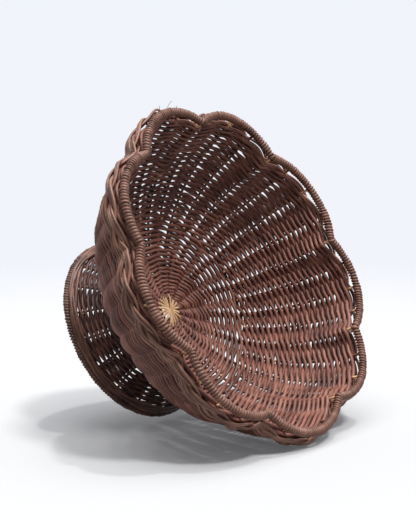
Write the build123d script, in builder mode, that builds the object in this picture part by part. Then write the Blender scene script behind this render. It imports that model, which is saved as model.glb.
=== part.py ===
from build123d import *
from math import cos, hypot, radians, sin, sqrt
import os

# A footed fruit basket woven from thin cane: a deep bowl with a scalloped rim on a flared round foot.
# Millimetres. +Z runs up the basket's axis, and z = 0 is the flat that the foot stands on.
# Azimuth 0 is +X, close to the middle of the first lobe. Every wall is two skins, the inside and the outside
# passes of the weave, with the spokes held between them.

# --- bowl: driving dimensions -------------------------------------------------------------------
lobe_count = 9
first_lobe = 5.0            # azimuth of the first lobe's middle, which centres the odd outline in X and Y
rim_radius = 150.0          # mean radius of the rim hoop's centre line
rim_height = 157.5          # height of the rim hoop's centre line
scallop_depth = 7.4         # a lobe's middle stands this far outside rim_radius, its notches inside
scallop_growth = 1.3        # power of the share of the side that the scallop grows with
floor_height = 48.5         # the wall's middle surface at the basket's centre
floor_sag = 7.0             # how far the wall's curve is pulled below floor_height
floor_reach = 54.0          # the floor's pull point lies this far inside the rim radius
wall_lean = 10.0            # the wall's pull point lies this far inside the rim radius
wall_pull = 69.0            # and this far below the rim
seam_share = 0.41           # where the added stakes start, as the wall curve's parameter
side_share = 0.72           # where the lower side weave meets the upper one

# --- cane sizes and clearances ------------------------------------------------------------------
spoke_d = 2.2
strand_d = 2.4
spoke_clearance = 0.25      # between a spoke and each skin
band_gap = 0.3              # between one band of weave and the next
star_radius = 13.0          # the bare crossing of the sticks at the centre of the floor
star_bar_width = 2.4
star_gap = 0.4              # between the crossing and the spokes and weave round it

# --- rim ----------------------------------------------------------------------------------------
rim_core_d = 4.0
rim_wrap_d = 7.8
notch_bend = 8.0            # radius of the hoop's inward bend at a notch
rim_slot = 2.6              # open slot between the last row of weave and the rim
border_strand_d = 4.6
border_count = 3
border_gap = 0.4            # between the rim, the border strands and each other
border_clearance = 0.35

# --- foot ---------------------------------------------------------------------------------------
foot_radius = 85.0          # centre line of the foot's hoop
foot_ring_d = 6.4
foot_core_d = 3.4
foot_flat = 0.3             # the wrapped ring is worn flat by this much where it stands
foot_top_radius = 50.0
foot_draw_in = 6.0          # the foot's wall is drawn in from a straight cone by these two
foot_draw_down = 4.0
binding_d = 5.0             # the ring of weave that ties the foot to the bowl
foot_spoke_count = 18
foot_spoke_groups = 3
foot_border_d = 3.6
foot_border_count = 2

# --- values that follow from them ---------------------------------------------------------------
half_gap = spoke_d / 2 + spoke_clearance
half_wall = half_gap + strand_d
lobe_angle = 360 / lobe_count
foot_ring_z = foot_ring_d / 2 - foot_flat
seam_to_rim = 1 - seam_share
border_pitch = border_strand_d + border_gap
border_drop = rim_wrap_d / 2 + border_gap + border_strand_d / 2
foot_border_pitch = foot_border_d + border_gap
past_sag = 0.08             # beyond this share the wall's curve only rises


def bowl_point(t):
    """Radius and height of the wall's middle surface: a cubic Bezier from the centre to the rim."""
    pull_1 = (rim_radius - floor_reach, floor_height - floor_sag)
    pull_2 = (rim_radius - wall_lean, rim_height - wall_pull)
    s = 1 - t
    weights = (s**3, 3 * s * s * t, 3 * s * t * t, t**3)
    points = ((0, floor_height), pull_1, pull_2, (rim_radius, rim_height))
    return tuple(sum(w * p[i] for w, p in zip(weights, points)) for i in range(2))


def direction(curve, t):
    """Unit direction in which a curve of radius and height runs."""
    step = 1e-4
    r_1, z_1 = curve(t - step)
    r_2, z_2 = curve(t + step)
    length = hypot(r_2 - r_1, z_2 - z_1)
    return (r_2 - r_1) / length, (z_2 - z_1) / length


def share_where(coordinate, value):
    """The wall parameter at which the radius (0) or the height (1) reaches a value, by bisection."""
    low, high = past_sag, 1.0
    while high - low > 1e-9:
        middle = (low + high) / 2
        if bowl_point(middle)[coordinate] < value:
            low = middle
        else:
            high = middle
    return high


def offset_point(curve, t, distance):
    """A point of an upward curve moved square to it; positive distances are outside the basket."""
    r, z = curve(t)
    dr, dz = direction(curve, t)
    return r + dz * distance, z - dr * distance


def scallop(t):
    """How far a lobe stands out at a place on the wall: none below the seam, all of it at the rim."""
    return scallop_depth * (max(0.0, t - seam_share) / seam_to_rim) ** scallop_growth


def lobe_radius(t, azimuth, outward=0.0):
    """Radius of the scalloped wall at an azimuth: each lobe is one arc from notch to notch."""
    r = bowl_point(t)[0] + outward
    tip, notch = r + scallop(t), r - scallop(t)
    half = radians(lobe_angle / 2)
    centre = (tip**2 - notch**2) / (2 * (tip - notch * cos(half)))
    arc_radius = tip - centre
    turn = radians((azimuth - first_lobe + lobe_angle / 2) % lobe_angle - lobe_angle / 2)
    return centre * cos(turn) + sqrt(arc_radius**2 - (centre * sin(turn)) ** 2)


def polar(radius, azimuth):
    return radius * cos(radians(azimuth)), radius * sin(radians(azimuth))


def level_offset(t, distance):
    """The level distance that moves the wall by a distance measured square to it."""
    return distance / direction(bowl_point, t)[1]


def lobe_arcs(t, outward):
    """Adds the nine arcs of the scalloped wall at one height to the line being drawn."""
    for lobe in range(lobe_count):
        middle = first_lobe + lobe * lobe_angle
        start, tip, end = (
            polar(lobe_radius(t, middle + turn, outward), middle + turn)
            for turn in (-lobe_angle / 2, 0, lobe_angle / 2)
        )
        ThreePointArc(start, tip, end)


def radial_plane(azimuth):
    """The upright plane through the axis whose X is the radius and whose Y is the height."""
    across = polar(1, azimuth - 90)
    return Plane(origin=(0, 0, 0), x_dir=(*polar(1, azimuth), 0), z_dir=(*across, 0))


def save(piece, name):
    piece.part.label = name
    export_step(piece.part, f"parts/{name}.step")


def round_skin(curve, t_start, t_end, near, far):
    """A skin of a round wall: the strip between two offsets of its curve, turned about the axis."""
    steps = 8
    shares = [t_start + (t_end - t_start) * i / steps for i in range(steps + 1)]
    with BuildPart() as skin:
        with BuildSketch(Plane.XZ):
            with BuildLine():
                inner = Spline(*[offset_point(curve, t, near) for t in shares])
                outer = Spline(*[offset_point(curve, t, far) for t in shares])
                Line(inner @ 0, outer @ 0)
                Line(inner @ 1, outer @ 1)
            make_face()
        revolve(axis=Axis.Z)
    return skin


def scalloped_skin(t_start, t_end, near, far):
    """A skin of the scalloped wall: one loft through level outlines with a second one taken out."""
    steps = 4
    shares = [t_start + (t_end - t_start) * i / steps for i in range(steps + 1)]
    with BuildPart() as skin:
        for distance, how in ((far, Mode.ADD), (near, Mode.SUBTRACT)):
            for t in shares:
                with BuildSketch(Plane.XY.offset(bowl_point(t)[1])):
                    with BuildLine():
                        lobe_arcs(t, level_offset(t, distance))
                    make_face()
            loft(mode=how)
    return skin


def arc_path(points, tangent):
    """Adds a chain of arcs through points to the line being drawn, each tangent to the last."""
    for start, end in zip(points, points[1:]):
        arc = TangentArc(start, end, tangent=tangent)
        tangent = arc % 1


os.makedirs("parts", exist_ok=True)

star_share = share_where(0, star_radius + star_gap)
top_share = share_where(1, rim_height - rim_wrap_d / 2 - rim_slot)
rim_share = share_where(1, rim_height - rim_wrap_d / 2)


# --- base: the crossing of the sticks, and the round weave of the floor --------------------------
with BuildPart() as base_star:
    with BuildSketch(Plane.XY.offset(floor_height - spoke_d / 2)):
        for stick in range(lobe_count):
            Rectangle(2 * star_radius, star_bar_width, rotation=stick * 180 / lobe_count)
    extrude(amount=spoke_d)
save(base_star, "base_star")

save(round_skin(bowl_point, star_share, seam_share, -half_gap, -half_wall), "base_weave_inside")
save(round_skin(bowl_point, star_share, seam_share, half_gap, half_wall), "base_weave_outside")


# --- sides: two scalloped bands of weave ---------------------------------------------------------
side_start = share_where(1, bowl_point(seam_share)[1] + half_wall + band_gap)
side_joint = share_where(1, bowl_point(side_share)[1] + band_gap)
for band, t_start, t_end in (("lower", side_start, side_share), ("upper", side_joint, top_share)):
    save(scalloped_skin(t_start, t_end, -half_wall, -half_gap), f"{band}_side_weave_inside")
    save(scalloped_skin(t_start, t_end, half_gap, half_wall), f"{band}_side_weave_outside")


# --- spokes: eighteen from the crossing, and eighteen stakes added at the seam --------------------
def bowl_spokes(azimuths, t_start):
    """Spokes between the skins, from a place on the wall up to the underside of the rim."""
    steps = 6
    shares = [t_start + (rim_share - t_start) * i / steps for i in range(steps + 1)]
    with BuildPart() as spokes:
        for azimuth in azimuths:
            with BuildLine(radial_plane(azimuth)) as path:
                points = [(lobe_radius(t, azimuth), bowl_point(t)[1]) for t in shares]
                arc_path(points, direction(bowl_point, t_start))
            with BuildSketch(Plane(origin=path.line @ 0, z_dir=path.line % 0)):
                Circle(spoke_d / 2)
            sweep(path=path.line)
    return spokes


for lobe in range(lobe_count):
    middle = first_lobe + lobe * lobe_angle
    main_spokes = bowl_spokes((middle, middle + lobe_angle / 2), star_share)
    save(main_spokes, f"main_spokes_lobe_{lobe + 1}")
    added_stakes = bowl_spokes((middle - lobe_angle / 4, middle + lobe_angle / 4), seam_share)
    save(added_stakes, f"added_stakes_lobe_{lobe + 1}")


# --- rim: a cane hoop, the wrapping round it and the plaited border below -------------------------
def scalloped_ring(t, height, outward, outer_d, inner_d=0.0):
    """A ring of round cane that follows the lobes, its notches bent to a radius."""
    with BuildPart() as ring:
        with BuildLine(Plane.XY.offset(height)) as path:
            lobe_arcs(t, outward)
            fillet(path.vertices(), radius=notch_bend)
        with BuildSketch(Plane(origin=path.wire() @ 0, z_dir=path.wire() % 0)):
            Circle(outer_d / 2)
            if inner_d:
                Circle(inner_d / 2, mode=Mode.SUBTRACT)
        sweep(path=path.wire())
    return ring


save(scalloped_ring(1.0, rim_height, 0.0, rim_core_d), "rim_hoop")
save(scalloped_ring(1.0, rim_height, 0.0, rim_wrap_d, rim_core_d), "rim_wrap")

for strand in range(border_count):
    height = rim_height - border_drop - strand * border_pitch
    t = share_where(1, height)
    outward = level_offset(t, half_wall + border_strand_d / 2 + border_clearance)
    save(scalloped_ring(t, height, outward, border_strand_d), f"border_strand_{strand + 1}")


# --- foot: binding ring, flared weave with its spokes, wrapped hoop and border --------------------
foot_top_share = share_where(0, foot_top_radius)
foot_top = offset_point(bowl_point, foot_top_share, half_wall + spoke_clearance + binding_d / 2)
foot_bottom = (foot_radius, foot_ring_z)
foot_pull = (
    (foot_top[0] + foot_bottom[0]) / 2 - foot_draw_in,
    (foot_top[1] + foot_bottom[1]) / 2 - foot_draw_down,
)
# a quadratic curve leaves each end at twice the distance to its pull point per unit of its share
low_speed = 2 * hypot(foot_bottom[0] - foot_pull[0], foot_bottom[1] - foot_pull[1])
high_speed = 2 * hypot(foot_top[0] - foot_pull[0], foot_top[1] - foot_pull[1])
foot_start = (foot_ring_d / 2 + band_gap) / low_speed
foot_end = 1 - (binding_d / 2 + band_gap) / high_speed


def foot_curve(t):
    """Radius and height of the foot's middle surface: a quadratic Bezier from hoop to binding."""
    s = 1 - t
    weights = (s * s, 2 * s * t, t * t)
    points = (foot_bottom, foot_pull, foot_top)
    return tuple(sum(w * p[i] for w, p in zip(weights, points)) for i in range(2))


with BuildPart() as foot_binding:
    with BuildSketch(Plane.XZ):
        with Locations(foot_top):
            Circle(binding_d / 2)
    revolve(axis=Axis.Z)
save(foot_binding, "foot_binding")

save(round_skin(foot_curve, foot_start, foot_end, -half_gap, -half_wall), "foot_weave_inside")
save(round_skin(foot_curve, foot_start, foot_end, half_gap, half_wall), "foot_weave_outside")

foot_steps = 4
foot_rise = foot_end - foot_start
foot_points = [foot_curve(foot_start + foot_rise * i / foot_steps) for i in range(foot_steps + 1)]
spokes_each = foot_spoke_count // foot_spoke_groups
for group in range(foot_spoke_groups):
    with BuildPart() as foot_spokes:
        for number in range(spokes_each):
            azimuth = (group * spokes_each + number) * 360 / foot_spoke_count
            with BuildLine(radial_plane(azimuth)) as path:
                arc_path(foot_points, direction(foot_curve, foot_start))
            with BuildSketch(Plane(origin=path.line @ 0, z_dir=path.line % 0)):
                Circle(spoke_d / 2)
            sweep(path=path.line)
    save(foot_spokes, f"foot_spokes_{group + 1}")

with BuildPart() as foot_hoop:
    with BuildSketch(Plane.XZ):
        with Locations((foot_radius, foot_ring_z)):
            Circle(foot_core_d / 2)
    revolve(axis=Axis.Z)
save(foot_hoop, "foot_hoop")

with BuildPart() as foot_wrap:
    with BuildSketch(Plane.XZ):
        with Locations((foot_radius, foot_ring_z)):
            Circle(foot_ring_d / 2)
            Circle(foot_core_d / 2, mode=Mode.SUBTRACT)
        with Locations((foot_radius, -foot_ring_d / 2)):
            Rectangle(2 * foot_ring_d, foot_ring_d, mode=Mode.SUBTRACT)
    revolve(axis=Axis.Z)
save(foot_wrap, "foot_wrap")

for strand in range(foot_border_count):
    share = foot_start + (foot_border_d / 2 + strand * foot_border_pitch) / low_speed
    border_centre = offset_point(foot_curve, share, half_wall + foot_border_d / 2 + border_clearance)
    with BuildPart() as foot_border:
        with BuildSketch(Plane.XZ):
            with Locations(border_centre):
                Circle(foot_border_d / 2)
        revolve(axis=Axis.Z)
    save(foot_border, f"foot_border_strand_{strand + 1}")
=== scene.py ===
import bpy
import numpy as np
from mathutils import Matrix


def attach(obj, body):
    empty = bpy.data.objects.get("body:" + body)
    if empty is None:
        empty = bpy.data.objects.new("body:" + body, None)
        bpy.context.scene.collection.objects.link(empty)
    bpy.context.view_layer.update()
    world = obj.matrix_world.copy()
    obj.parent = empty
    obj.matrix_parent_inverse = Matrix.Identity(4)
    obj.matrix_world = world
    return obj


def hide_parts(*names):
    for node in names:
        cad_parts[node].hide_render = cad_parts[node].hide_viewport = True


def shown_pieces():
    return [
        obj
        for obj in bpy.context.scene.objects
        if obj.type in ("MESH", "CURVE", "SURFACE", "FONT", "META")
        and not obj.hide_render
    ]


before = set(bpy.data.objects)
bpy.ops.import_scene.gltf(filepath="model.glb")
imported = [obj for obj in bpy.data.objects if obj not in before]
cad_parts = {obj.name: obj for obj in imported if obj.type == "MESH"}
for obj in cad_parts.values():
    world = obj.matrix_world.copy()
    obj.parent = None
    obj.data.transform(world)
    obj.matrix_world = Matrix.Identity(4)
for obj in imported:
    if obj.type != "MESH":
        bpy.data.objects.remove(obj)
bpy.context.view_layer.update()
rng = np.random.default_rng(36)

# ---- Floor weave -------------------------------------------------------------------------------
# The round bottom of the bowl, from the bare crossing of the sticks out to the seam. Two dyed canes
# are twined round eighteen sticks in one long spiral, packed tight at first and looser further out.
lobes = 9
first_lobe = np.radians(5)
even_start = -100  # azimuth of the first notch before the turn, in degrees
rim_r, rim_z, floor_z = 0.150, 0.1575, 0.0485
floor_reach, floor_sag, wall_lean, wall_pull = 0.054, 0.007, 0.010, 0.069
seam_t, scallop, scallop_growth = 0.41, 0.0074, 1.3
floor_sticks, side_sticks = 2 * lobes, 4 * lobes
knots = np.array([
    (0, floor_z),
    (rim_r - floor_reach, floor_z - floor_sag),
    (rim_r - wall_lean, rim_z - wall_pull),
    (rim_r, rim_z),
])
# a hand-bent rim has uneven lobes: each notch sits a little off its even place, in degrees
notch_off = np.array([-0.2, -1.2, -1.3, 4.0, 1.2, -1.5, -0.4, -1.2, 0.1])


def curve(t):
    """Radius and height of the wall: a cubic Bezier from the centre of the floor to the rim."""
    t = np.asarray(t, float)[..., None]
    s = 1 - t
    return s**3 * knots[0] + 3 * s * s * t * knots[1] + 3 * s * t * t * knots[2] + t**3 * knots[3]


t_fine = np.linspace(0, 1, 2001)
steps = np.linalg.norm(np.diff(curve(t_fine), axis=0), axis=1)
length_fine = np.concatenate([[0], np.cumsum(steps)])
wall_length = length_fine[-1]
seam_s = np.interp(seam_t, t_fine, length_fine)


def uneven(turn):
    """An even azimuth in radians moved with the notches next to it, in proportion between them."""
    even = np.radians(np.arange(-1, lobes + 2) * 360 / lobes + even_start)
    shift = np.radians(notch_off[np.arange(-1, lobes + 2) % lobes])
    base = even[1]
    wrapped = (turn - base) % (2 * np.pi) + base
    return turn + first_lobe + np.interp(wrapped, even, shift)


def wall(s, turn, off):
    """Point on the bowl wall: s metres up the curve from the centre, at an even azimuth, moved off
    metres outward. Above the seam the radius follows nine arcs that meet in notches."""
    t = np.interp(s, length_fine, t_fine)
    r, z = np.moveaxis(curve(t), -1, 0)
    tangent = curve(t + 1e-4) - curve(t - 1e-4)
    tangent /= np.linalg.norm(tangent, axis=-1, keepdims=True)
    depth = scallop * np.clip((t - seam_t) / (1 - seam_t), 0, 1) ** scallop_growth
    tip, notch, half = r + depth, r - depth, np.pi / lobes
    centre = (tip**2 - notch**2) / (2 * (tip - notch * np.cos(half)))
    inside = (turn + half) % (2 * half) - half
    r = centre * np.cos(inside) + np.sqrt((tip - centre) ** 2 - (centre * np.sin(inside)) ** 2)
    r = r + tangent[..., 1] * off
    z = z - tangent[..., 0] * off + np.zeros_like(r)
    azimuth = uneven(turn) + np.zeros_like(r)
    point = np.stack([r * np.cos(azimuth), r * np.sin(azimuth), z], -1)
    out = np.stack([tangent[..., 1] * np.cos(azimuth), tangent[..., 1] * np.sin(azimuth),
                    -tangent[..., 0] + np.zeros_like(r)], -1)
    return point, out


def wander(rows, count, knots_each, closed=True):
    """Smooth random numbers in -1..1 along each row: random knots joined by an S-shaped blend."""
    value = rng.uniform(-1, 1, (rows, knots_each + 1))
    if closed:
        value[:, -1] = value[:, 0]
    place = np.linspace(0, knots_each, count, endpoint=not closed) - 1e-9
    i = np.clip(place.astype(int), 0, knots_each - 1)
    f = place - i
    f = f * f * (3 - 2 * f)
    return value[:, i] * (1 - f) + value[:, i + 1] * f


def tubes(name, path, ref, wide, thick, sides=6, closed=False, pale=None, tone=None):
    """Canes as one mesh. path is (canes, points, 3) and ref the direction that thick lies along.
    Each ring of vertices is an ellipse across the path: centre + thick cos a * normal + wide sin a *
    binormal. Attributes: grain (length along the cane, cos a, sin a), tone and pale."""
    path = np.asarray(path, float)
    canes, points = path.shape[:2]
    if closed:
        along = np.roll(path, -1, 1) - np.roll(path, 1, 1)
    else:
        along = np.gradient(path, axis=1)
    along /= np.linalg.norm(along, axis=-1, keepdims=True)
    side = np.cross(along, ref)
    side /= np.linalg.norm(side, axis=-1, keepdims=True)
    normal = np.cross(side, along)
    angle = np.arange(sides) * 2 * np.pi / sides
    wide = np.broadcast_to(wide, (canes, points))[..., None, None]
    thick = np.broadcast_to(thick, (canes, points))[..., None, None]
    vert = (path[:, :, None] + thick * np.cos(angle)[:, None] * normal[:, :, None]
            + wide * np.sin(angle)[:, None] * side[:, :, None])
    ring = np.arange(points if closed else points - 1)
    c, p, a = np.meshgrid(np.arange(canes), ring, np.arange(sides), indexing="ij")
    index = lambda p, a: ((c * points + p % points) * sides + a % sides).ravel()
    quads = np.stack([index(p, a), index(p + 1, a), index(p + 1, a + 1), index(p, a + 1)], 1)
    faces = quads.tolist()
    if not closed:
        first = np.arange(canes)[:, None] * points * sides
        faces += (first + np.arange(sides)).tolist()
        faces += (first + (points - 1) * sides + np.arange(sides)[::-1]).tolist()
    mesh = bpy.data.meshes.new(name)
    mesh.from_pydata(vert.reshape(-1, 3).tolist(), [], faces)
    mesh.polygons.foreach_set("use_smooth", np.ones(len(mesh.polygons), bool))
    step = np.linalg.norm(np.diff(path, axis=1), axis=-1)
    far = np.concatenate([np.zeros((canes, 1)), np.cumsum(step, 1)], 1)
    grain = np.empty((canes, points, sides, 3))
    grain[..., 0] = (far + rng.uniform(0, 3, (canes, 1)))[..., None]
    grain[..., 1], grain[..., 2] = np.cos(angle), np.sin(angle)
    mesh.attributes.new("grain", "FLOAT_VECTOR", "POINT").data.foreach_set("vector", grain.ravel())
    for label, value in (("tone", tone), ("pale", pale)):
        value = np.zeros((canes, points)) if value is None else np.broadcast_to(value, (canes, points))
        spread = np.repeat(value.ravel(), sides)
        mesh.attributes.new(label, "FLOAT", "POINT").data.foreach_set("value", spread)
    mesh.update()
    piece = bpy.data.objects.new(name, mesh)
    bpy.context.collection.objects.link(piece)
    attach(piece, "root")
    return piece


def cane(name, dark, mid, light, straw, rough=0.55):
    """Dyed cane: fine streaks along each strand, blotches of dye, a tone for each strand, and bare
    straw where the pale attribute says so. A tone set low darkens a strand as painted shade."""
    mat = bpy.data.materials.new(name)
    mat.use_nodes = True
    tree = mat.node_tree
    shader = tree.nodes["Principled BSDF"]
    new, link = tree.nodes.new, tree.links.new

    def attribute(label, socket):
        node = new("ShaderNodeAttribute")
        node.attribute_name = label
        return node.outputs[socket]

    def maths(kind, a, b):
        node = new("ShaderNodeMath")
        node.operation = kind
        for socket, value in zip(node.inputs, (a, b)):
            if isinstance(value, (int, float)):
                socket.default_value = value
            else:
                link(value, socket)
        return node.outputs[0]

    stretch = new("ShaderNodeVectorMath")
    stretch.operation = "MULTIPLY"
    link(attribute("grain", "Vector"), stretch.inputs[0])
    stretch.inputs[1].default_value = (70, 2.2, 2.2)
    streak = new("ShaderNodeTexNoise")
    streak.inputs["Scale"].default_value = 1.6
    streak.inputs["Detail"].default_value = 4
    link(stretch.outputs[0], streak.inputs["Vector"])
    place = new("ShaderNodeTexCoord")
    blotch = new("ShaderNodeTexNoise")
    blotch.inputs["Scale"].default_value = 55
    blotch.inputs["Detail"].default_value = 3
    link(place.outputs["Object"], blotch.inputs["Vector"])
    streaks = maths("MULTIPLY", streak.outputs["Fac"], 0.5)
    value = maths("ADD", streaks, maths("MULTIPLY", blotch.outputs["Fac"], 0.5))
    value = maths("ADD", value, maths("MULTIPLY", attribute("tone", "Fac"), 0.10))
    ramp = new("ShaderNodeValToRGB")
    low, high = ramp.color_ramp.elements
    low.position, low.color = 0.28, (*dark, 1)
    high.position, high.color = 0.76, (*light, 1)
    middle = ramp.color_ramp.elements.new(0.5)
    middle.color = (*mid, 1)
    link(value, ramp.inputs["Fac"])
    mix = new("ShaderNodeMix")
    mix.data_type = "RGBA"
    ragged = maths("MULTIPLY", maths("SUBTRACT", streak.outputs["Fac"], 0.5), 0.5)
    bare = maths("ADD", attribute("pale", "Fac"), ragged)
    cut = new("ShaderNodeMapRange")
    cut.inputs["From Min"].default_value, cut.inputs["From Max"].default_value = 0.35, 0.65
    link(bare, cut.inputs["Value"])
    link(cut.outputs["Result"], mix.inputs["Factor"])
    link(ramp.outputs["Color"], mix.inputs[6])
    mix.inputs[7].default_value = (*straw, 1)
    link(mix.outputs[2], shader.inputs["Base Color"])
    shader.inputs["Roughness"].default_value = rough
    shader.inputs["Specular IOR Level"].default_value = 0.35
    bump = new("ShaderNodeBump")
    bump.inputs["Strength"].default_value = 0.5
    bump.inputs["Distance"].default_value = 0.0003
    link(streak.outputs["Fac"], bump.inputs["Height"])
    link(bump.outputs["Normal"], shader.inputs["Normal"])
    return mat


straw = (0.56, 0.35, 0.18)
woven = cane("woven_cane", (0.034, 0.0110, 0.0085), (0.128, 0.045, 0.031), (0.25, 0.106, 0.074), straw)


def spiral(first_s, last_s, pitch_in, pitch_out, sticks, per_stick):
    """Azimuth and wall length along a spiral whose pitch grows evenly from the first to the last."""
    turns = 2 * (last_s - first_s) / (pitch_in + pitch_out)
    count = int(turns * sticks * per_stick) + 1
    turn = np.arange(count) / (sticks * per_stick) * 2 * np.pi
    k = turn / (2 * np.pi * turns)
    return turn, first_s + turns * (pitch_in * k + (pitch_out - pitch_in) * k * k / 2)


def twine(surface, turn, s, sticks, radius, cross, stack):
    """Two canes twined along a spiral. Each swings from inside a stick to outside the next, by cross
    times cos(turn * sticks / 2), and they pass one over the other between sticks, by stack times the
    sin of the same. Both wander a little, and each swing is a little stronger or weaker."""
    count = len(turn)
    swing = turn * sticks / 2
    laps = max(2, int(turn[-1] / (2 * np.pi) * 9))
    sway = wander(1, count, laps, False) * 0.00045
    paths, outs = [], []
    for sign in (1, -1):
        force = 1 + 0.16 * wander(1, count, laps * 3, False)[0]
        drift = 0.0002 * wander(1, count, laps * 4, False)[0]
        beat = np.sin(swing)
        lift = stack * np.sign(beat) * np.abs(beat) ** 0.6
        off = sign * cross * np.cos(swing) * force
        point, out = surface(s + sign * lift + sway[0] + drift, turn, off)
        paths.append(point)
        outs.append(out)
    thick = radius * (1 + 0.10 * wander(2, count, laps * 2, False))
    return np.array(paths), np.array(outs), thick


stick_r, strand_r = 0.0013, 0.00165
star_r, first_row, seam_half = 0.0125, 0.0088, 0.0035
inner_pitch, outer_pitch = 0.0033, 0.0055
turn, s = spiral(first_row, seam_s - seam_half, inner_pitch, outer_pitch, floor_sticks, 12)
seam_turn = turn[-1]
path, out, thick = twine(wall, turn, s, floor_sticks, strand_r, 0.0024, 0.0014)
tone = wander(2, len(turn), 60, False)
floor_weave = tubes("floor_weave", path, out, thick, thick, 7, tone=tone)
floor_weave.data.materials.append(woven)
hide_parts("base_weave_inside", "base_weave_outside")

# ---- Seam row ----------------------------------------------------------------------------------
# Where the eighteen stakes are added, one heavier round of twining holds old and new sticks. It is
# uneven: the canes are thicker, and each bulges over the stake ends pushed in beside the sticks.
seam_r, seam_climb, seam_cross, seam_stack = 0.00185, 0.0060, 0.0030, 0.0016
around = np.linspace(0, 2 * np.pi, side_sticks * 12 + 1)
swing = (seam_turn + around) * side_sticks / 2
path, out = [], []
for sign in (1, -1):
    force = 1 + 0.3 * wander(1, len(around), side_sticks)[0]
    climb = seam_climb * around / (2 * np.pi)
    place = seam_s - seam_half + climb + 0.0006 * wander(1, len(around), 30)[0]
    off = sign * seam_cross * np.cos(swing) * force
    point, normal = wall(place + sign * seam_stack * np.sin(swing), seam_turn + around, off)
    path.append(point)
    out.append(normal)
thick = seam_r * (1 + 0.12 * wander(2, len(around), 40))
seam_row = tubes("seam_row", path, out, thick, thick, 8, tone=wander(2, len(around), 18, False))
seam_row.data.materials.append(woven)

# ---- Side weave --------------------------------------------------------------------------------
# The scalloped wall from the seam to the open slot below the rim: two canes in one spiral, twined
# round all thirty-six sticks. Halfway up, the canes are spliced, so it is a lower and an upper band.
slot_s = wall_length - 0.0082
low_pitch, high_pitch, full_side = 0.0053, 0.0050, 0.5
turn, s = spiral(seam_s + seam_climb - seam_half, slot_s, low_pitch, high_pitch, side_sticks, 7)
turn = turn + seam_turn
path, out, thick = twine(wall, turn, s, side_sticks, strand_r, 0.0025, 0.00145)
# the canes are fuller toward the rim, and on the side at azimuth full_side
rise = (s - s[0]) / (s[-1] - s[0])
thick = thick * (1 + 0.07 * rise + 0.10 * np.cos(turn - full_side))
tone = wander(2, len(turn), 140, False)
cut = len(turn) // 2
for name, part in (("lower_side", slice(0, cut + 1)), ("upper_side", slice(cut, None))):
    round_r = thick[:, part]
    band = tubes(name + "_weave", path[:, part], out[:, part], round_r, round_r, 7, tone=tone[:, part])
    band.data.materials.append(woven)
    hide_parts(name + "_weave_inside", name + "_weave_outside")

# ---- Main sticks -------------------------------------------------------------------------------
# Nine long sticks cross at the centre and run up both sides as eighteen upright sticks, one at each
# notch and each lobe's middle. The dye is rubbed off them in spots, and their ends bend to the rim.
spoke_dark, spoke_mid, spoke_light = (0.040, 0.016, 0.010), (0.13, 0.055, 0.035), (0.25, 0.13, 0.085)
spoke_mat = cane("spoke_cane", spoke_dark, spoke_mid, spoke_light, straw)
top_s = wall_length - 0.0022
s = np.linspace(star_r - 0.001, top_s, 110)
sticks = np.arange(floor_sticks) * 2 * np.pi / floor_sticks
lean = wander(floor_sticks, len(s), 9, False) * 0.0006
azimuth = sticks[:, None] + lean / np.maximum(s, 0.03)[None]
point, out = wall(s[None], azimuth, 0.0003 * wander(floor_sticks, len(s), 12, False))
spots = np.clip(wander(floor_sticks, len(s), 55, False) * 1.5 - 0.35, 0, 1)
near_end = np.clip(1 - (top_s - s) / 0.012, 0, 1) * 0.9
near_star = np.clip(1 - (s - 0.012) / 0.030, 0, 1) * 0.85
bare = np.clip(spots * 0.9 + near_end + near_star, 0, 1)
tone = wander(floor_sticks, len(s), 6, False)
main = tubes("main_sticks", point, out, stick_r, stick_r, 8, pale=bare, tone=tone)
main.data.materials.append(spoke_mat)
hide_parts(*[f"main_spokes_lobe_{n + 1}" for n in range(lobes)])

# ---- Added stakes ------------------------------------------------------------------------------
# Eighteen shorter stakes pushed in at the seam, halfway between each notch and lobe middle. Their
# cut ends show pale on the inside, standing a little proud of the weave.
s = np.linspace(seam_s - 0.0045, top_s, 80)
stakes = (np.arange(floor_sticks) * 20 + 10) * np.pi / 180
lean = wander(floor_sticks, len(s), 7, False) * 0.0006
proud = -0.0030 * np.clip(1 - (s - s[0]) / 0.012, 0, 1) ** 1.5
off = proud + 0.0003 * wander(floor_sticks, len(s), 9, False)
point, out = wall(s[None], stakes[:, None] + lean / s[None], off)
bare = np.clip(wander(floor_sticks, len(s), 30, False) * 1.3 - 0.55, 0, 1)
bare = np.clip(bare + np.clip(1 - (s - s[0]) / 0.0035, 0, 1), 0, 1)
tone = wander(floor_sticks, len(s), 5, False)
added = tubes("added_stakes", point, out, stick_r, stick_r, 8, pale=bare, tone=tone)
added.data.materials.append(spoke_mat)
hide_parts(*[f"added_stakes_lobe_{n + 1}" for n in range(lobes)])

# ---- Star --------------------------------------------------------------------------------------
# The bare crossing of the nine sticks at the centre of the floor: flat, undyed cane the colour of
# straw, each stick lying over the ones before it.
pale_dark, pale_mid, pale_light = (0.27, 0.15, 0.07), (0.44, 0.265, 0.14), (0.60, 0.40, 0.235)
pale_mat = cane("pale_cane", pale_dark, pale_mid, pale_light, straw, 0.6)
star_wide, star_thick, star_lift, star_droop = 0.00125, 0.0008, 0.0030, 0.0032
stacking = 0.00022 * np.arange(lobes)[:, None]
along = np.linspace(-1, 1, 29)
reach = (star_r + 0.0040 + rng.uniform(-0.0012, 0.0012, (lobes, 1))) * along
angle = np.arange(lobes)[:, None] * np.pi / lobes + rng.uniform(-0.03, 0.03, (lobes, 1))
rise = floor_z + star_lift + stacking - star_droop * np.abs(along) ** 5
point = np.stack([reach * np.cos(angle), reach * np.sin(angle), rise], -1)
up = np.broadcast_to([0.0, 0.0, 1.0], point.shape)
star = tubes("star", point, up, star_wide, star_thick, 8, tone=rng.uniform(-1, 1, (lobes, 1)))
star.data.materials.append(pale_mat)
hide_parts("base_star")

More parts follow.
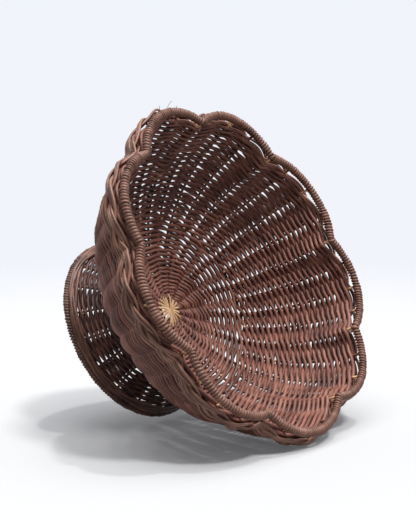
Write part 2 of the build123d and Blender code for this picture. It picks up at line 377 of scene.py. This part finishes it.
# ---- Rim hoop and wrapping ---------------------------------------------------------------------
# A round hoop bent to the nine lobes, hidden under a flat cane wound round it turn by turn. The
# turns lie close but not evenly, and the winding is thicker where one cane ends on another.
def loop(make, count, soften):
    """A closed line of evenly spaced points through make(turn), its corners softened by averaging."""
    turn = np.arange(4 * count) / (4 * count) * 2 * np.pi
    line = make(turn)
    for _ in range(soften):
        line = (np.roll(line, 1, 0) + line * 2 + np.roll(line, -1, 0)) / 4
    far = np.concatenate([[0], np.cumsum(np.linalg.norm(np.roll(line, -1, 0) - line, axis=1))])
    line = np.concatenate([line, line[:1]])
    want = np.arange(count) / count * far[-1]
    return np.stack([np.interp(want, far, line[:, i]) for i in range(3)], 1), far[-1]


def winding(line, length, core, pitch, wide, thick, per_turn):
    """A cane wound round a closed line: it goes round the line's own section once each pitch, at a
    distance core from it, and the section is square to the line with +Z as its second axis."""
    turns = round(length / pitch)
    count = turns * per_turn
    fine = np.arange(count) * len(line) / count
    i = fine.astype(int)
    f = (fine - i)[:, None]
    centre = line[i] * (1 - f) + line[(i + 1) % len(line)] * f
    ahead = np.roll(centre, -3, 0) - np.roll(centre, 3, 0)
    ahead /= np.linalg.norm(ahead, axis=1, keepdims=True)
    outward = np.cross(ahead, [0, 0, 1.0])
    outward /= np.linalg.norm(outward, axis=1, keepdims=True)
    upward = np.cross(outward, ahead)
    phase = np.arange(count) / per_turn * 2 * np.pi + 1.3 * wander(1, count, turns // 4)[0]
    overlap = np.clip(wander(1, count, turns // 14)[0] - 0.6, 0, 1) * 0.0016
    reach = core + overlap + 0.0003 * wander(1, count, turns)[0]
    normal = np.cos(phase)[:, None] * outward + np.sin(phase)[:, None] * upward
    width = wide * (1 + 0.3 * wander(1, count, turns // 2))
    return (centre + reach[:, None] * normal)[None], normal[None], width, thick


rim_line, rim_length = loop(lambda turn: wall(np.full_like(turn, wall_length), turn, 0 * turn)[0], 1440, 60)
wrap_dark, wrap_mid, wrap_light = (0.038, 0.016, 0.011), (0.12, 0.052, 0.034), (0.22, 0.11, 0.075)
wrap_mat = cane("wrapping_cane", wrap_dark, wrap_mid, wrap_light, straw, 0.5)
hoop_r, hoop_line = 0.0027, rim_line[None, ::3]
upward = np.broadcast_to([0, 0, 1.0], hoop_line.shape)
hoop = tubes("rim_hoop_core", hoop_line, upward, hoop_r, hoop_r, 8, closed=True)
hoop.data.materials.append(spoke_mat)
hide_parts("rim_hoop")
rim_core, rim_pitch, rim_wide, rim_thick = 0.0028, 0.0029, 0.00128, 0.0012
path, out, wide, thick = winding(rim_line, rim_length, rim_core, rim_pitch, rim_wide, rim_thick, 12)
tone = 0.35 * wander(1, path.shape[1], 400)
rim_wrap = tubes("rim_winding", path, out, wide, thick, 6, closed=True, tone=tone)
rim_wrap.data.materials.append(wrap_mat)
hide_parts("rim_wrap")

# ---- Border ------------------------------------------------------------------------------------
# Below the rim, on the outside, three groups of canes are loosely plaited into a wavy band that
# stands off the wall. The canes are lighter than the weave and gaps show between them.
border_dark, border_mid, border_light = (0.045, 0.018, 0.012), (0.14, 0.060, 0.039), (0.28, 0.145, 0.095)
border_mat = cane("border_cane", border_dark, border_mid, border_light, straw, 0.45)


def plait(surface, middle_s, off, waves, high, deep, group, canes, radius, spacing):
    """One group of a three-part plait: it swings across the band as sin of its turn, and in and out
    as sin of twice that, a third of a swing behind the group before; its canes lie side by side."""
    count = waves * 36
    turn = np.arange(count) / count * 2 * np.pi
    beat = waves * turn + group * 2 * np.pi / 3 + 0.35 * wander(1, count, waves)[0]
    paths, outs = [], []
    for n in range(canes):
        shift = (n - (canes - 1) / 2) * spacing
        rise = high * np.sin(beat) * (1 + 0.25 * wander(1, count, waves)[0]) + shift
        rise = rise + 0.0007 * wander(1, count, waves * 2)[0]
        depth = off + deep * np.sin(2 * beat) + 0.0008 * wander(1, count, waves * 2)[0]
        point, out = surface(middle_s - rise, turn, depth)
        paths.append(point)
        outs.append(out)
    thick = radius * (1 + 0.12 * wander(canes, count, waves * 2))
    return np.array(paths), np.array(outs), thick


border_s, border_off, border_waves = wall_length - 0.0152, 0.0068, 11
border_high, border_deep, border_r, border_spacing = 0.0056, 0.0018, 0.00125, 0.0024
for group in range(3):
    path, out, thick = plait(wall, border_s, border_off, border_waves, border_high, border_deep, group, 3,
                             border_r, border_spacing)
    tone = wander(3, path.shape[1], 24)
    strand = tubes(f"border_group_{group + 1}", path, out, thick, thick, 7, closed=True, tone=tone)
    strand.data.materials.append(border_mat)
    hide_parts(f"border_strand_{group + 1}")

# ---- Foot weave --------------------------------------------------------------------------------
# The flared skirt under the bowl: canes twined round eighteen foot sticks in one spiral from the
# binding down to the ring. It is looser than the bowl, so light shows through long gaps.
foot_ring_r, foot_ring_z, binding_r, binding_z = 0.085, 0.0029, 0.0511, 0.0439
foot_knots = np.array([(foot_ring_r, foot_ring_z), (0.0620, 0.0194), (binding_r, binding_z)])


def foot_wall(s, turn, off):
    """Point on the foot: s metres up from the ring along a quadratic Bezier, off metres outward."""
    fine = np.linspace(0, 1, 201)[:, None]
    line = (1 - fine) ** 2 * foot_knots[0] + 2 * fine * (1 - fine) * foot_knots[1]
    line = line + fine**2 * foot_knots[2]
    far = np.concatenate([[0], np.cumsum(np.linalg.norm(np.diff(line, axis=0), axis=1))])
    slope = np.gradient(line, axis=0)
    slope /= np.linalg.norm(slope, axis=1, keepdims=True)
    dr, dz = (np.interp(s, far, slope[:, i]) for i in range(2))
    r = np.interp(s, far, line[:, 0]) + dz * off
    z = np.interp(s, far, line[:, 1]) - dr * off + np.zeros_like(r)
    turn = turn + np.zeros_like(r)
    point = np.stack([r * np.cos(turn), r * np.sin(turn), z + np.zeros_like(turn)], -1)
    out = np.stack([dz * np.cos(turn), dz * np.sin(turn), -dr + np.zeros_like(turn)], -1)
    return point, out


foot_length = 0.0545
thinner, foot_painted_shade = 0.88, 1.5  # the skirt's canes are thin, and their tone is lowered as painted shade for the skirt lying in the bowl's shadow
foot_end_s = foot_length - 0.0035
turn, s = spiral(0.0042, foot_end_s, 0.0044, 0.0046, floor_sticks, 12)
path, out, thick = twine(foot_wall, turn, s, floor_sticks, strand_r * thinner, 0.0022, 0.0013)
# painted shade: the skirt's canes are made darker by a lower tone
tone = wander(2, len(turn), 60, False) * 0.5 - foot_painted_shade
foot_weave = tubes("foot_weave", path, out, thick, thick, 7, tone=tone)
foot_weave.data.materials.append(woven)
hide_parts("foot_weave_inside", "foot_weave_outside")

# ---- Foot sticks -------------------------------------------------------------------------------
# Eighteen short sticks that carry the skirt, pushed into the weave of the floor at the top and
# wrapped into the ring at the bottom.
s = np.linspace(0.0, foot_length, 30)
turns = np.arange(floor_sticks) * 2 * np.pi / floor_sticks
azimuth = turns[:, None] + 0.01 * wander(floor_sticks, len(s), 4, False)
off = 0.0002 * wander(floor_sticks, len(s), 5, False)
point, out = foot_wall(s[None] + 0 * turns[:, None], azimuth, off)
bare = np.clip(wander(floor_sticks, len(s), 12, False) - 0.5, 0, 1)
tone = wander(floor_sticks, len(s), 5, False)
foot_sticks = tubes("foot_sticks", point, out, stick_r, stick_r, 8, pale=bare, tone=tone)
foot_sticks.data.materials.append(spoke_mat)
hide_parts("foot_spokes_1", "foot_spokes_2", "foot_spokes_3")

# ---- Foot binding ------------------------------------------------------------------------------
# A twisted ring of three canes, wound round one another like a rope, that ties the tops of the foot
# sticks to the underside of the bowl.
twists, twist_r = 27, 0.0014
count = twists * 16
turn = np.arange(count) / count * 2 * np.pi
paths, outs = [], []
for n in range(3):
    beat = twists * turn + n * 2 * np.pi / 3
    r = binding_r + twist_r * np.cos(beat)
    z = binding_z + twist_r * np.sin(beat)
    paths.append(np.stack([r * np.cos(turn), r * np.sin(turn), z], -1))
    outs.append(np.stack([np.cos(beat) * np.cos(turn), np.cos(beat) * np.sin(turn), np.sin(beat)], -1))
binding = tubes("binding_ring", paths, outs, 0.00125, 0.00115, 7, closed=True, tone=wander(3, count, 20))
binding.data.materials.append(border_mat)
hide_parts("foot_binding")

# ---- Foot ring ---------------------------------------------------------------------------------
# The round hoop of cane that the basket stands on, wound with flat cane like the rim but thinner.
# The foot sticks end in it.
def foot_circle(turn):
    """A level circle at the foot ring's radius, at the height of the middle of its winding."""
    return np.stack([foot_ring_r * np.cos(turn), foot_ring_r * np.sin(turn), 0.0030 + 0 * turn], 1)


foot_line, ring_length = loop(foot_circle, 720, 0)
core_r, core_line = 0.0021, foot_line[None, ::3]
upward = np.broadcast_to([0, 0, 1.0], core_line.shape)
ring_core = tubes("foot_ring_core", core_line, upward, core_r, core_r, 8, closed=True)
ring_core.data.materials.append(spoke_mat)
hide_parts("foot_hoop")
ring_at, ring_pitch, ring_wide, ring_thick = 0.0022, 0.0028, 0.00124, 0.0011
path, out, wide, thick = winding(foot_line, ring_length, ring_at, ring_pitch, ring_wide, ring_thick, 12)
# painted shade: the foot ring's winding is made darker by a lower tone, as it lies in the bowl's shadow
tone = 0.35 * wander(1, path.shape[1], 220) - 1.0
ring_wrap = tubes("foot_winding", path, out, wide, thick, 6, closed=True, tone=tone)
ring_wrap.data.materials.append(wrap_mat)
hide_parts("foot_wrap")

# ---- Foot border -------------------------------------------------------------------------------
# Loose canes laid round the skirt just above the ring, plaited so slackly that they look like
# long parallel strands with dark gaps.
skirt_s, skirt_off, skirt_high, skirt_deep = 0.0052, 0.0034, 0.0014, 0.0006
skirt_r, skirt_spacing = 0.0016, 0.0031
for group in range(2):
    path, out, thick = plait(foot_wall, skirt_s, skirt_off, 5, skirt_high, skirt_deep, group, 2,
                             skirt_r, skirt_spacing)
    # painted shade: the skirt border's canes are made darker by a lower tone, as they lie in the bowl's
    # shadow
    tone = wander(2, path.shape[1], 16) - 1.2
    strand = tubes(f"foot_border_group_{group + 1}", path, out, thick, thick, 7, closed=True, tone=tone)
    strand.data.materials.append(border_mat)
    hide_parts(f"foot_border_strand_{group + 1}")

# ---- Stray fibres ------------------------------------------------------------------------------
# Hair-thin splinters of cane that stand out of the wrapping at the rim, left untrimmed. They are
# a few millimetres long, each bent its own way.
fibre_wide, fibre_thick = 0.00022, 0.00018
fibre_place = ((3.42, 0.008), (3.50, 0.006), (3.56, 0.009), (3.35, 0.005), (4.1, 0.004))  # azimuth, length
fibres = []
for place, push in fibre_place:
    base, out = wall(np.array([wall_length]), np.array([place]), np.array([0.003]))
    bend = np.linspace(0, 1, 10)[:, None]
    aim = out[0] * 0.5 + [0, 0, 0.9] + rng.uniform(-0.4, 0.4, 3)
    fibres.append(base[0] + push * (bend * aim + bend**2 * rng.uniform(-0.4, 0.4, 3)))
fibres = np.array(fibres)
flat_side = np.broadcast_to([0.3, 0.9, 0.1], fibres.shape)
stray = tubes("stray_fibres", fibres, flat_side, fibre_wide, fibre_thick, 5)
stray.data.materials.append(border_mat)

# ---- Floor, light and camera --------------------------------------------------------------------
# The basket is stored upright but is seen tipped over, resting on its foot ring and the border of
# one lobe, so the white table top is a tilted plane here and the camera is rolled to match.
down = np.array([0.8758, 0.1403, -0.461])
down /= np.linalg.norm(down)
table_far = 0.0
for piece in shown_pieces():
    if not piece.hide_render:
        spots = np.empty(len(piece.data.vertices) * 3)
        piece.data.vertices.foreach_get("co", spots)
        table_far = max(table_far, (spots.reshape(-1, 3) @ down).max())
view_from = np.array([0.3581, -1.0549, 0.9069])
right = np.array([0.2744, 0.6406, 0.7172])
up = np.array([-0.9203, -0.0413, 0.3890])
ahead = np.array([-0.2788, 0.7668, -0.5782])
middle = np.array([0.0, 0.0, 0.08])
middle = middle + (table_far - middle @ down) * down
side = np.cross(ahead, down)
side /= np.linalg.norm(side)
front = np.cross(down, side)
half_table = 3
signs = ((-1, -1), (1, -1), (1, 1), (-1, 1))
corners = [middle + half_table * (a * side + b * front) for a, b in signs]
mesh = bpy.data.meshes.new("table_top")
facing_up = np.dot(np.cross(corners[1] - corners[0], corners[2] - corners[0]), down) < 0
face = (0, 1, 2, 3) if facing_up else (3, 2, 1, 0)
mesh.from_pydata([c.tolist() for c in corners], [], [face])
table_top = bpy.data.objects.new("table_top", mesh)
bpy.context.collection.objects.link(table_top)
mat = bpy.data.materials.new("table_white")
mat.use_nodes = True
nodes, link = mat.node_tree.nodes, mat.node_tree.links.new
shader = nodes["Principled BSDF"]
table_white, table_glow = (0.303, 0.304, 0.306, 1), 0.08
shader.inputs["Base Color"].default_value = table_white
# the white board is given a faint glow of its own, with no lamp lighting it from below, so the shadows on
# it stay pale
shader.inputs["Emission Color"].default_value = (0.95, 0.96, 1.0, 1)
shader.inputs["Emission Strength"].default_value = table_glow
shader.inputs["Roughness"].default_value = 0.9
shader.inputs["Specular IOR Level"].default_value = 0.1
clear = nodes.new("ShaderNodeBsdfTransparent")
mixer = nodes.new("ShaderNodeMixShader")
place = nodes.new("ShaderNodeTexCoord")
centre = nodes.new("ShaderNodeVectorMath")
centre.operation = "DISTANCE"
link(place.outputs["Object"], centre.inputs[0])
centre.inputs[1].default_value = middle.tolist()
fade = nodes.new("ShaderNodeMapRange")
fade.interpolation_type = "SMOOTHSTEP"
fade_from, fade_to = 0.45, 1.3
fade.inputs["From Min"].default_value, fade.inputs["From Max"].default_value = fade_from, fade_to
link(centre.outputs["Value"], fade.inputs["Value"])
geometry = nodes.new("ShaderNodeNewGeometry")
either = nodes.new("ShaderNodeMath")
either.operation = "MAXIMUM"
link(fade.outputs["Result"], either.inputs[0])
link(geometry.outputs["Backfacing"], either.inputs[1])
link(either.outputs[0], mixer.inputs["Fac"])
link(shader.outputs[0], mixer.inputs[1])
link(clear.outputs[0], mixer.inputs[2])
link(mixer.outputs[0], nodes["Material Output"].inputs["Surface"])
mesh.materials.append(mat)

bpy.context.scene.view_settings.view_transform = "Standard"
world = bpy.data.worlds.new("white_studio")
world.use_nodes = True
# a bright white sweep behind and above the basket, and a dimmer room on the camera's side
tree = world.node_tree
place = tree.nodes.new("ShaderNodeTexCoord")
facing = tree.nodes.new("ShaderNodeVectorMath")
facing.operation = "DOT_PRODUCT"
facing.inputs[1].default_value = (0.85 * ahead - 0.5 * down).tolist()
band = tree.nodes.new("ShaderNodeMapRange")
band.interpolation_type = "SMOOTHSTEP"
band.inputs["From Min"].default_value, band.inputs["From Max"].default_value = -0.5, 0.55
dim_room, bright_sweep = 0.33, 0.97
band.inputs["To Min"].default_value, band.inputs["To Max"].default_value = dim_room, bright_sweep
tree.links.new(place.outputs["Generated"], facing.inputs[0])
tree.links.new(facing.outputs["Value"], band.inputs["Value"])
tree.links.new(band.outputs["Result"], tree.nodes["Background"].inputs["Strength"])
tree.nodes["Background"].inputs["Color"].default_value = (0.905, 0.93, 0.99, 1)
bpy.context.scene.world = world

# a small lamp high behind the basket, a key light to the right on the camera's side, and a broad one above
lamps = (
    ("back_light", 0.20 * right - 1.0 * down + 0.05 * front * np.sign(front @ ahead), 1.4, 0.05),
    ("key_light", 0.40 * right - down - 0.38 * ahead, 3.1, 0.16),
    ("ceiling", -down, 3.3, 0.9),
)
for name, aim, power, size in lamps:
    aim = aim / np.linalg.norm(aim)
    axis_x = np.cross(up, aim)
    axis_x /= np.linalg.norm(axis_x)
    lamp = bpy.data.objects.new(name, bpy.data.lights.new(name, "SUN"))
    lamp.data.energy, lamp.data.angle = power, size
    turned = np.eye(4)
    turned[:3, :3] = np.stack([axis_x, np.cross(aim, axis_x), aim], 1)
    lamp.matrix_world = Matrix(turned.tolist())
    bpy.context.collection.objects.link(lamp)

camera = bpy.data.objects.new("camera", bpy.data.cameras.new("camera"))
lens_mm, sensor_mm = 103.85, 36
camera.data.lens = lens_mm
camera.data.sensor_width = sensor_mm
turned = np.stack([right, up, -ahead], 1)
u, _, v = np.linalg.svd(turned)
pose = np.eye(4)
pose[:3, :3] = u @ v
pose[:3, 3] = view_from
camera.matrix_world = Matrix(pose.tolist())
bpy.context.collection.objects.link(camera)
bpy.context.scene.camera = camera
